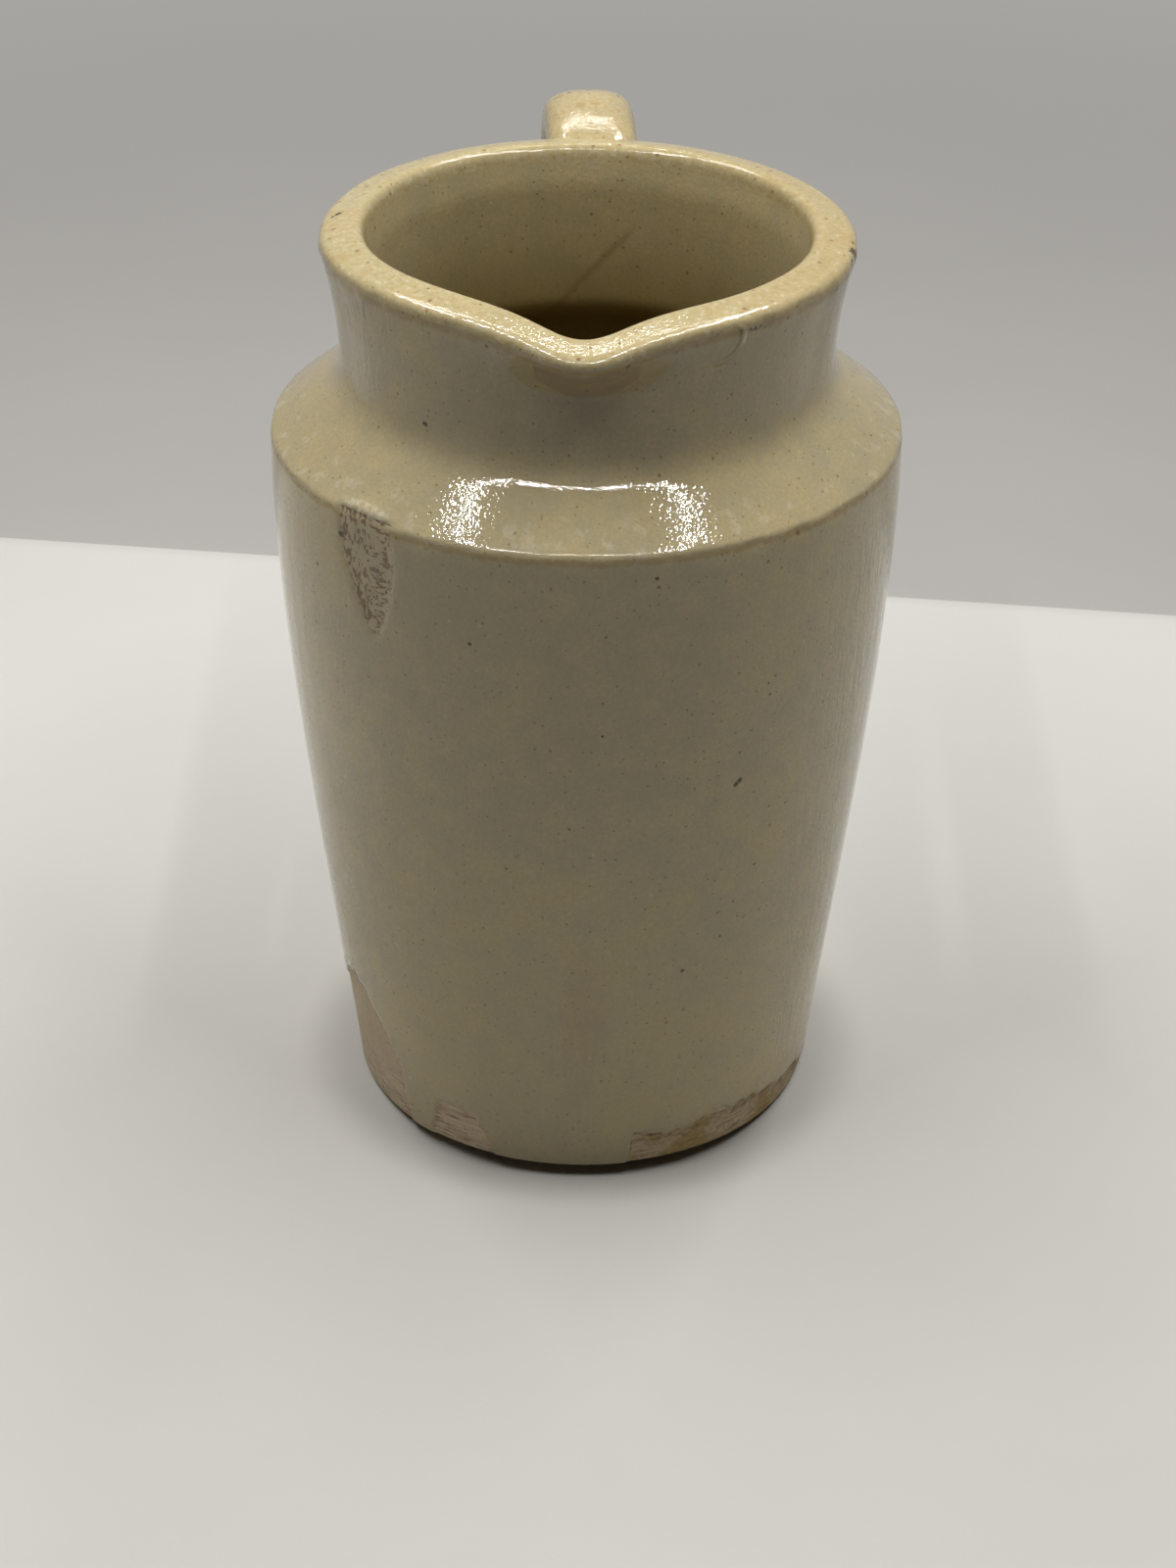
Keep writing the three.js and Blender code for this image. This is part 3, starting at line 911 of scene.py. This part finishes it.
def glaze_coat(coat):
    """The glaze on sound clay."""
    look = coat.look
    cloud = coat.noise("cloud")
    mottle = coat.noise("mottle", MOTTLE_SHIFT)
    coat.tint = coat.shader.mix((mottle * 0.6 + cloud * 0.4).step(0.36, 0.64), look.ash, look.cream)
    coat.lay((cloud * 0.7 + mottle * 0.3).step(0.46, 0.66) * 0.22, look.straw)
    coat.lay(coat.noise("grain").step(0.34, 0.62) * 0.30, dimmed(look.cream, 0.68))
    coat.height = coat.noise("peel") * PEEL + coat.noise("skin") * SKIN
    for i, (cell, radius, strength) in enumerate(SPECKS):
        dots = coat.dots(cell, radius, (0.7 * i, 0.2 * i, 0.5 * i))
        coat.lay(dots * strength, look.iron)
        coat.height = coat.height - dots * (SPECK_SINK_SHARE * radius * MM)
    pale = coat.dots(*PALE_DOTS)
    coat.lay(pale * 0.30, look.pale)
    coat.height = coat.height - pale * PALE_SINK


def cloudy_shoulder(coat):
    """Pale clouds where the glaze lies thick, near the shoulder's edge."""
    near = coat.within("shoulder's edge") * coat.mask("outside")
    coat.lay(near * coat.noise("shoulder").step(0.53, 0.66) * 0.30, coat.look.pale)


def edge_break(coat):
    """Glaze runs thin over the edges, and shows honey brown with dark specks."""
    edge = coat.mask("edge")
    coat.lay((edge + (coat.noise("edge") - 0.5) * 1.4).step(0.50, 1.05) * 0.80, coat.look.honey)
    coat.lay(coat.dots(*EDGE_DOTS) * edge.step(0.15, 0.6) * 0.75, coat.look.iron)


def butter_rim(coat):
    """Buttery glaze over the rim, yellower on the right, with warm tints where it was stacked and wiped."""
    look = coat.look
    cloud = coat.noise("rim cloud")
    grit = coat.noise("rim grit")
    on_rim = (coat.mask("lip") + (cloud - 0.5) * 0.6).step(0.2, 0.7)
    coat.lay(on_rim * 0.70, look.butter)
    coat.lay(on_rim * grit.step(0.48, 0.70) * 0.55, look.honey)
    coat.lay(on_rim * grit.step(0.44, 0.30) * 0.35, look.pale)
    coat.lay(on_rim * coat.within("right of rim") * cloud * 0.45, look.honey)
    coat.lay(on_rim * coat.dots(*RIM_DOTS) * 0.65, look.iron)
    for angle, radius, reach in RIM_TINTS:
        near = coat.near(round_point(angle, radius, RIM_TINT_HEIGHT)).step(reach * MM, 0.2 * reach * MM)
        coat.lay(near * cloud.step(0.3, 0.7) * 0.50, look.rust)


def inside_browning_and_shade(coat):
    """The glaze inside, darkened toward brown with depth: partly a browner glaze, partly painted shade of the
    hollow.
    """
    deep = (coat.spot.up + coat.noise("inside") * 4).step(*INSIDE_SHADE_HEIGHTS)
    # Painted shade: darker and browner with depth inside the hollow
    coat.lay((1 - coat.mask("outside")) * deep * 0.90, coat.look.depth)


def stain(coat):
    """Painted shade: the glaze darkened and greyed low on the front, where little light bounces up from the
    paper; and the faint brown stain on it.
    """
    across = (coat.spot.angle - STAIN["angle"]) * (math.radians(1) * STAIN["radius"] / STAIN["half_width"])
    up = (coat.spot.up - STAIN["height"]) / STAIN["half_height"]
    near = ((across * across + up * up) ** 0.5 + (coat.noise("stain") - 0.5) * 0.9).step(1.15, 0.1)
    wall = coat.within("outside wall")
    # Painted shade: greyer, darker glaze low on the front
    coat.lay(coat.within("painted shade low front") * wall * 0.32, dimmed(coat.look.ash, 0.62))
    coat.lay(near * wall * 0.36, STAIN["tint"])


def spout_shade(coat):
    """Painted shade under the spout: a darker patch where the pull ends, straight at the sides and round
    below.
    """
    across = abs(coat.spot.angle - SPOUT_SHADE["angle"]) / SPOUT_SHADE["half_angle"]
    low = (coat.spot.up - SPOUT_SHADE["sag"] * across * across).step(*SPOUT_SHADE["low"])
    sides = across.step(1.03, 0.96) * coat.within("under lip") * coat.mask("outside")
    # Painted shade: the patch under the spout is darkened
    coat.lay(low * sides * 0.60, SPOUT_SHADE["tint"])


def neck_streaks(coat):
    """Runs and fine hairlines on the left of the neck."""
    runs = coat.streaks(0.45, 0.12, 4.0, 2.2, 3, 0.6)
    coat.lay(runs.step(0.55, 0.70) * coat.within("left neck") * 0.45, coat.look.burnt)


def inside_line(coat):
    """A faint dark line that slants down the back of the throat and the chamber."""
    across = coat.spot.right - SLANT["right"]
    off = across * math.cos(SLANT["turn"]) - (coat.spot.up - SLANT["height"]) * math.sin(SLANT["turn"])
    near = abs(off).step(SLANT["width"], 0) * coat.within("inside line") * (1 - coat.mask("outside"))
    coat.lay(near * 0.35, coat.look.burnt)


def blob(coat):
    """The pale blob of glaze on the shoulder's edge over the scar."""
    coat.lay(coat.mask("blob").step(0.05, 0.55) * coat.noise("blob").step(0.38, 0.62) * 0.65, coat.look.pale)


def crescent(coat):
    """A crescent-shaped ridge under the rim, as a height in metres."""
    across = (coat.spot.angle - CRESCENT["angle"]) * (math.radians(1) * CRESCENT["neck"])
    up = coat.spot.up - CRESCENT["height"]
    off = abs((across * across + up * up) ** 0.5 - CRESCENT["radius"])
    ridge = off.step(2 * CRESCENT["width"], 0.2 * CRESCENT["width"]) * (across + up * -0.45).step(0.2, 1.2)
    return ridge * coat.within("crescent") * (CRESCENT["stand"] * MM)


def throwing_marks(coat):
    """Scraped streaks that run up the wall, stronger in places, as a height in metres."""
    wall = coat.noise("scrapes").step(0.42, 0.66) * 0.4 + coat.within("right") * 0.8 + 0.1
    share = wall * coat.within("wall") + (coat.within("left") * 0.7 + 0.2) * coat.within("neck")
    return (coat.streaks(0.5, 0.16, coat.spot.radius * 0.1, 1.6, 2) - 0.5) * share * SCRAPE


def dimples(coat):
    """Dimples in the glaze on the right of the neck and the wall, as a height in metres."""
    return coat.noise("dimples") * coat.within("dimpled") * coat.mask("outside") * DIMPLE


def scar(coat):
    """The rough scar under the shoulder's edge, pitted with short dark furrows. Returns where it is."""
    field = coat.mask("scar") + (coat.noise("scar edge") - 0.5) * 1.6
    inside = field.step(-0.1, 0.6)
    ring = field.step(2.6, 0.9)
    right = coat.within("right of scar")
    furrows = coat.noise("upright") * (1 - right) + coat.noise("level") * right
    furrows = (furrows + ring * 0.05).step(0.53, 0.61)
    spots = coat.dots(*SCAR_DOTS)
    coat.lay(inside * 0.40, coat.look.ash)
    coat.lay(inside * (0.18 + ring * 0.15), coat.look.clay)
    coat.lay(inside * (furrows * 0.80).at_least(spots * 0.85), coat.look.burnt)
    coat.height = coat.height - inside * furrows.at_least(spots) * FURROW
    return inside


def bare_clay(coat):
    """Bare clay under the glaze, burnt along the glaze's edge, with turning lines. Returns where it is."""
    look = coat.look
    glaze = coat.tint
    field = coat.mask("bare") + (coat.noise("bare edge") - 0.5) * 0.9
    inside = field.step(0.05, 0.35)
    lines = coat.noise("lines")
    grit = coat.noise("clay grit")
    right = coat.within("bare right")
    left = coat.within("bare left")
    plain = 1 - left * 0.7
    coat.tint = coat.shader.mix(lines.step(0.38, 0.68) * plain, look.clay, dimmed(look.clay, 0.72))
    coat.lay(left * 0.45, look.ash)
    warm = coat.noise("warmth").step(0.46, 0.62)
    coat.lay((warm * 0.5 + 0.35) * right + warm * 0.15, look.honey)
    coat.lay(grit.step(0.42, 0.66) * (right * 0.20 + 0.20), look.burnt)
    coat.lay(coat.noise("scratches").step(0.59, 0.66) * plain * 0.75, look.burnt)
    coat.tint = coat.shader.mix(inside, glaze, coat.tint)
    fringe = field.step(-0.35, 0.10) * field.step(2.0, 0.30) * coat.noise("fringe").step(0.45, 0.58)
    coat.lay(fringe * (right * 0.75 + 0.20) * plain, look.burnt)
    coat.height = coat.height * (1 - inside) + inside * (grit + lines) * CLAY_GRAIN
    return inside


def pits(coat, points):
    """Dark pits in the glaze, given as places and radii in metres."""
    ragged = (coat.noise("pit") - 0.5) * PIT_RAGGED_SHARE
    for point, radius in points:
        hole = (coat.near(point) + ragged * radius).step(radius, 0.55 * radius)
        coat.lay(hole * 0.9, coat.look.soot)
        coat.height = coat.height - hole * PIT_DEPTH


def body_finish(jug, look):
    """Glaze over the thrown body, with all its marks, and painted shade inside, low on the front and under
    the spout.
    """
    coat = Coat("glazed_stoneware_body", look)
    for layer in (glaze_coat, cloudy_shoulder, edge_break, butter_rim, inside_browning_and_shade, stain, spout_shade,
                  neck_streaks, inside_line, blob):
        layer(coat)
    coat.height = coat.height + throwing_marks(coat) + dimples(coat) + crescent(coat)
    scarred = scar(coat)
    bare = bare_clay(coat)
    points = [(surface_point(jug, angle, up), size * MM) for angle, up, size in PITS]
    points += [(round_point(angle, radius, up), size * MM) for angle, up, radius, size in CHIPS]
    pits(coat, points)
    coat.shader.surface(coat.tint, 0.05 + bare * 0.60 + scarred * 0.35, coat.height)
    return coat.made


def strap_finish(name, look, marks, holes):
    """Glaze over the strap and its slip, with brown marks where the glaze crawled."""
    coat = Coat(name, look)
    glaze_coat(coat)
    coat.lay(coat.noise("strap grit").step(0.42, 0.68) * 0.62, look.honey)
    ragged = (coat.noise("strap cloud") - 0.5) * MARK_RAGGED
    for point, radius in marks:
        coat.lay((coat.near(point) + ragged).step(radius, 0.3 * radius) * 0.75, look.honey)
    pits(coat, holes)
    coat.shader.surface(coat.tint, 0.08, coat.height * 1.3)
    return coat.made


# Pieces

def new_object(context, data, place=Matrix()):
    """An object in the scene with the name of its data."""
    made = bpy.data.objects.new(data.name, data)
    made.matrix_world = place
    context.scene.collection.objects.link(made)
    return made


def new_mesh(context, name, bm, finish):
    """Turns a bmesh into a smooth object with a material."""
    for face in bm.faces:
        face.smooth = True
    mesh = bpy.data.meshes.new(name)
    bm.to_mesh(mesh)
    bm.free()
    mesh.materials.append(finish)
    return new_object(context, mesh)


def finish_piece(context, name, bm, finish, node):
    """Turns a bmesh into a piece of the jug that stands for a CAD node."""
    piece = new_mesh(context, name, bm, finish)
    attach(piece, "root")
    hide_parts(node)


class JUG_OT_throw_body(bpy.types.Operator):
    """Throw the body, pull its spout and glaze it"""

    bl_idname = "jug.throw_body"
    bl_label = "Throw Body"

    def execute(self, context):
        jug = context.scene.jug_body_sizes
        bm = bmesh.new()
        turned_body(bm, jug)
        work_body(bm, jug, context.scene.jug_spout_sizes)
        finish = body_finish(jug, context.scene.jug_glaze_look)
        finish_piece(context, "glazed_body", bm, finish, "jug_body")
        return {"FINISHED"}


# Marks and pits on the strap, as places and radii in millimetres, and the two cuts that fit it to the body

HANDLE_MARKS = (
    (-1.0, 34.7, 98.2, 0.75), (0.8, 35.1, 98.2, 0.65), (3.6, 33.0, 97.6, 0.6), (-3.3, 38.0, 97.9, 0.8),
    (1.3, 40.2, 97.7, 1.1),
)
HANDLE_PITS = (
    (-2.2, 38.7, 98.2, 0.34), (-0.15, 39.7, 98.1, 0.30), (3.2, 38.4, 98.0, 0.24), (3.9, 31.5, 97.0, 0.24),
)
UPPER_CUT, LOWER_CUT = 5 * MM, 9 * MM


class JUG_OT_pull_handle(bpy.types.Operator):
    """Pull the strap handle, bend it and glaze it"""

    bl_idname = "jug.pull_handle"
    bl_label = "Pull Handle"

    def execute(self, context):
        jug = context.scene.jug_body_sizes
        strap = context.scene.jug_handle_sizes
        middle = (jug.shoulder_height + jug.rim_height) / 2
        bm = bmesh.new()
        pull_strap(bm, strap_stations(jug, strap))
        cut_root(bm, jug.neck_radius - strap.root_depth, middle - UPPER_CUT, jug.rim_height)
        cut_root(bm, jug.shoulder_radius - strap.root_depth, 0, middle - LOWER_CUT)
        bmesh.ops.recalc_face_normals(bm, faces=bm.faces)
        work_strap(bm, strap)
        marks, holes = ([(Vector(spot[:3]) * MM, spot[3] * MM) for spot in spots]
                        for spots in (HANDLE_MARKS, HANDLE_PITS))
        finish = strap_finish("glazed_stoneware_strap", context.scene.jug_glaze_look, marks, holes)
        finish_piece(context, "glazed_handle", bm, finish, "handle")
        return {"FINISHED"}


class JUG_OT_lute_handle(bpy.types.Operator):
    """Lay a fillet of slip round each root of the handle"""

    bl_idname = "jug.lute_handle"
    bl_label = "Lute Handle"

    def execute(self, context):
        strap = context.scene.jug_handle_sizes
        stations = strap_stations(context.scene.jug_body_sizes, strap)
        roots = {"upper": stations[LUTE_STATIONS::-1], "lower": stations[-LUTE_STATIONS:]}
        finish = strap_finish("glazed_slip_fillet", context.scene.jug_glaze_look, [], [])
        for seed, (root, run) in enumerate(roots.items()):
            bm = bmesh.new()
            lute(bm, run, strap, 5.0 * seed)
            finish_piece(context, f"{root}_slip_fillet", bm, finish, f"{root}_slip_joint")
        return {"FINISHED"}


# The stage

SENSOR = 36
CLIP_START, CLIP_END = 10 * MM, 20


def set_camera(context, stage):
    """Puts the camera at the photograph's place."""
    camera = bpy.data.cameras.new("camera")
    camera.lens = stage.focal_length
    camera.sensor_width = SENSOR
    camera.clip_start = CLIP_START
    camera.clip_end = CLIP_END
    tilt = Matrix.Rotation(math.pi / 2 - stage.pitch, 4, "X") @ Matrix.Rotation(stage.roll, 4, "Z")
    place = Matrix.Translation((stage.camera_side, -stage.camera_distance, stage.camera_height))
    context.scene.camera = new_object(context, camera, place @ tilt)


# Each strip lamp's power, middle and length in millimetres, and turn in degrees

STRIPS = {
    "left": ("side_power", (-171, 0), 410, 90), "right": ("side_power", (142, 0), 410, 90),
    "front": ("front_power", (-14, -188), 313, 0), "back": ("back_power", (-14, 222), 313, 0),
}


def hang_lamps(context, stage):
    """Hangs the strip lamps in a square over the table. The front one only shows in the glaze."""
    for side, (strength, (x, y), span, turn) in STRIPS.items():
        lamp = bpy.data.lights.new(f"{side}_lamp", "AREA")
        lamp.shape = "RECTANGLE"
        lamp.size = span * MM
        lamp.size_y = stage.lamp_width
        lamp.energy = getattr(stage, strength)
        lamp.color = stage.lamp_tint
        place = Matrix.Translation((x * MM, y * MM, stage.lamp_height))
        hung = new_object(context, lamp, place @ Matrix.Rotation(math.radians(turn), 4, "Z"))
        hung.visible_diffuse = side != "front"


def seen_share(shader):
    """1 for rays that show the background: from the camera, or through glass or off gloss."""
    path = shader.node("ShaderNodeLightPath").socket.node.outputs
    seen = Wire(shader, path["Is Camera Ray"]).at_least(Wire(shader, path["Is Glossy Ray"]))
    return seen.at_least(Wire(shader, path["Is Transmission Ray"]))


PAPER_LEFT, PAPER_RIGHT, PAPER_FRONT = -600 * MM, 600 * MM, -600 * MM
PAPER_BACK, PAPER_SLANT = 117.5 * MM, -0.129
PAPER_DROP = 0.03 * MM
PAPER_STEPS = (450, 270)
CARD_STEPS = (2, 2)
CARD_SIZE = 8
CARD_DROP = 2.2 * MM
DIP = {"depth": 2.0 * MM, "y": -20.0 * MM, "half_width": 26 * MM, "half_length": 8 * MM}


def paper_place(across, along):
    """A point of the paper. Its back edge slants and meets the card, and it dips in front of the jug."""
    x = PAPER_LEFT + (PAPER_RIGHT - PAPER_LEFT) * across
    y = PAPER_FRONT + (PAPER_BACK + PAPER_SLANT * x - PAPER_FRONT) * along
    dip = math.exp(-(x / DIP["half_width"]) ** 2 - ((y - DIP["y"]) / DIP["half_length"]) ** 2)
    edge = smooth(along, 1 - 1 / PAPER_STEPS[1], 1)
    return x, y, -PAPER_DROP - DIP["depth"] * dip - CARD_DROP * edge


def card_place(across, along):
    """A point of the wide card under the paper."""
    return CARD_SIZE * (across - 0.5), CARD_SIZE * (along - 0.5), -CARD_DROP


def lay(context, name, place, steps, finish):
    """Lays a sheet on the table. place gives its points from shares across and along."""
    bm = bmesh.new()
    bmesh.ops.create_grid(bm, x_segments=steps[0], y_segments=steps[1], size=0.5)
    for vert in bm.verts:
        vert.co = place(vert.co.x + 0.5, vert.co.y + 0.5)
    new_mesh(context, name, bm, finish)


# Where each sheet runs out of the lamps' light: its front, and the start and end of its distance

PAPER_REACH = (-98 * MM, 300 * MM, 550 * MM)
CARD_REACH = (-2, 130 * MM, 460 * MM)
REACH_FADE = 35 * MM
CLOUD_SIZE = 50 * MM
TOOTH_SIZE = 0.6 * MM
TOOTH = 0.02 * MM
# Distances from the middle at which the painted shadow round the foot starts and is full
FOOT_SHADE = (33 * MM, 26 * MM)


def sheet_finish(name, tint, bounce, glow, reach):
    """A matte sheet. Where the lamps' light runs out, only the camera sees it pale. Round the foot it is
    painted darker, as the foot's contact shadow.
    """
    made, shader = material(name)
    place = shader.place()
    off = shader.distance(place, (0, 0, 0))
    cloud = shader.noise(place, CLOUD_SIZE, 3.0)
    tone_and_foot_shadow = shader.mix(cloud.step(0.3, 0.7), dimmed(tint, 0.97), tint)
    tone_and_foot_shadow = shader.mix(seen_share(shader), bounce, tone_and_foot_shadow)
    # Painted shadow: the paper darkened round the foot
    tone_and_foot_shadow = shader.mix(off.step(*FOOT_SHADE) * 0.26, tone_and_foot_shadow, (0, 0, 0))
    tooth = shader.noise(place, TOOTH_SIZE, 2.0) * TOOTH
    bump = shader.node("ShaderNodeBump", None, {"Height": tooth, "Distance": 1.0})
    matte = shader.node("ShaderNodeBsdfDiffuse", None, {"Color": tone_and_foot_shadow, "Normal": bump})
    shade = shader.node("ShaderNodeBsdfDiffuse", None, {"Color": (*dimmed(tint, 0.06), 1)})
    pale = shader.node("ShaderNodeEmission", None, {"Color": (*glow, 1)})
    beyond = shader.node("ShaderNodeMixShader", None, {0: seen_share(shader), 1: shade, 2: pale})
    front, start, end = reach
    far = off.step(start, end).at_least(shader.parts(place)[1].step(front, front - REACH_FADE))
    mixed = shader.node("ShaderNodeMixShader", None, {0: far, 1: matte, 2: beyond})
    shader.node("ShaderNodeOutputMaterial", None, {"Surface": mixed})
    return made


def light_room(context, stage):
    """A dim room, with a pale background where the camera sees it."""
    world = bpy.data.worlds.new("room")
    shader = Shader(world)
    tint = shader.mix(seen_share(shader), stage.room, stage.horizon)
    room = shader.node("ShaderNodeBackground", None, {"Color": tint, "Strength": 1.0})
    shader.node("ShaderNodeOutputWorld", None, {"Surface": room})
    context.scene.world = world


class JUG_OT_set_stage(bpy.types.Operator):
    """Set up the camera, the lamps, the room and the paper"""

    bl_idname = "jug.set_stage"
    bl_label = "Set Stage"

    def execute(self, context):
        stage = context.scene.jug_stage_look
        set_camera(context, stage)
        hang_lamps(context, stage)
        light_room(context, stage)
        paper = sheet_finish("paper", stage.paper, stage.bounce, stage.near_glow, PAPER_REACH)
        card = sheet_finish("card", stage.card, stage.card, stage.horizon, CARD_REACH)
        lay(context, "paper", paper_place, PAPER_STEPS, paper)
        lay(context, "card", card_place, CARD_STEPS, card)
        context.scene.view_settings.view_transform = "Standard"
        return {"FINISHED"}


OPERATORS = (JUG_OT_set_stage, JUG_OT_throw_body, JUG_OT_pull_handle, JUG_OT_lute_handle)
SETTINGS = {
    "jug_body_sizes": BodySizes,
    "jug_spout_sizes": SpoutSizes,
    "jug_handle_sizes": HandleSizes,
    "jug_glaze_look": GlazeLook,
    "jug_stage_look": StageLook,
}


class JUG_PT_workshop(bpy.types.Panel):
    """Lists the steps that make the jug, and their sizes and colours."""

    bl_label = "Cream Jug"
    bl_idname = "JUG_PT_workshop"
    bl_space_type = "VIEW_3D"
    bl_region_type = "UI"
    bl_category = "Cream Jug"

    def draw(self, context):
        for operator in OPERATORS:
            self.layout.operator(operator.bl_idname)
        for name, group in SETTINGS.items():
            box = self.layout.box()
            box.label(text=group.__doc__)
            for setting in group.__annotations__:
                box.prop(getattr(context.scene, name), setting)


def register():
    """Registers the classes and hangs the settings on the scene."""
    for item in (*SETTINGS.values(), *OPERATORS, JUG_PT_workshop):
        bpy.utils.register_class(item)
    for name, group in SETTINGS.items():
        setattr(bpy.types.Scene, name, PointerProperty(type=group))


def unregister():
    """Takes the settings off the scene and the classes out."""
    for name in SETTINGS:
        delattr(bpy.types.Scene, name)
    for item in (JUG_PT_workshop, *OPERATORS, *SETTINGS.values()):
        bpy.utils.unregister_class(item)


def main():
    """Makes the jug on its stage."""
    register()
    for operator in OPERATORS:
        group, name = operator.bl_idname.split(".")
        getattr(getattr(bpy.ops, group), name)()


if __name__ == "__main__":
    main()
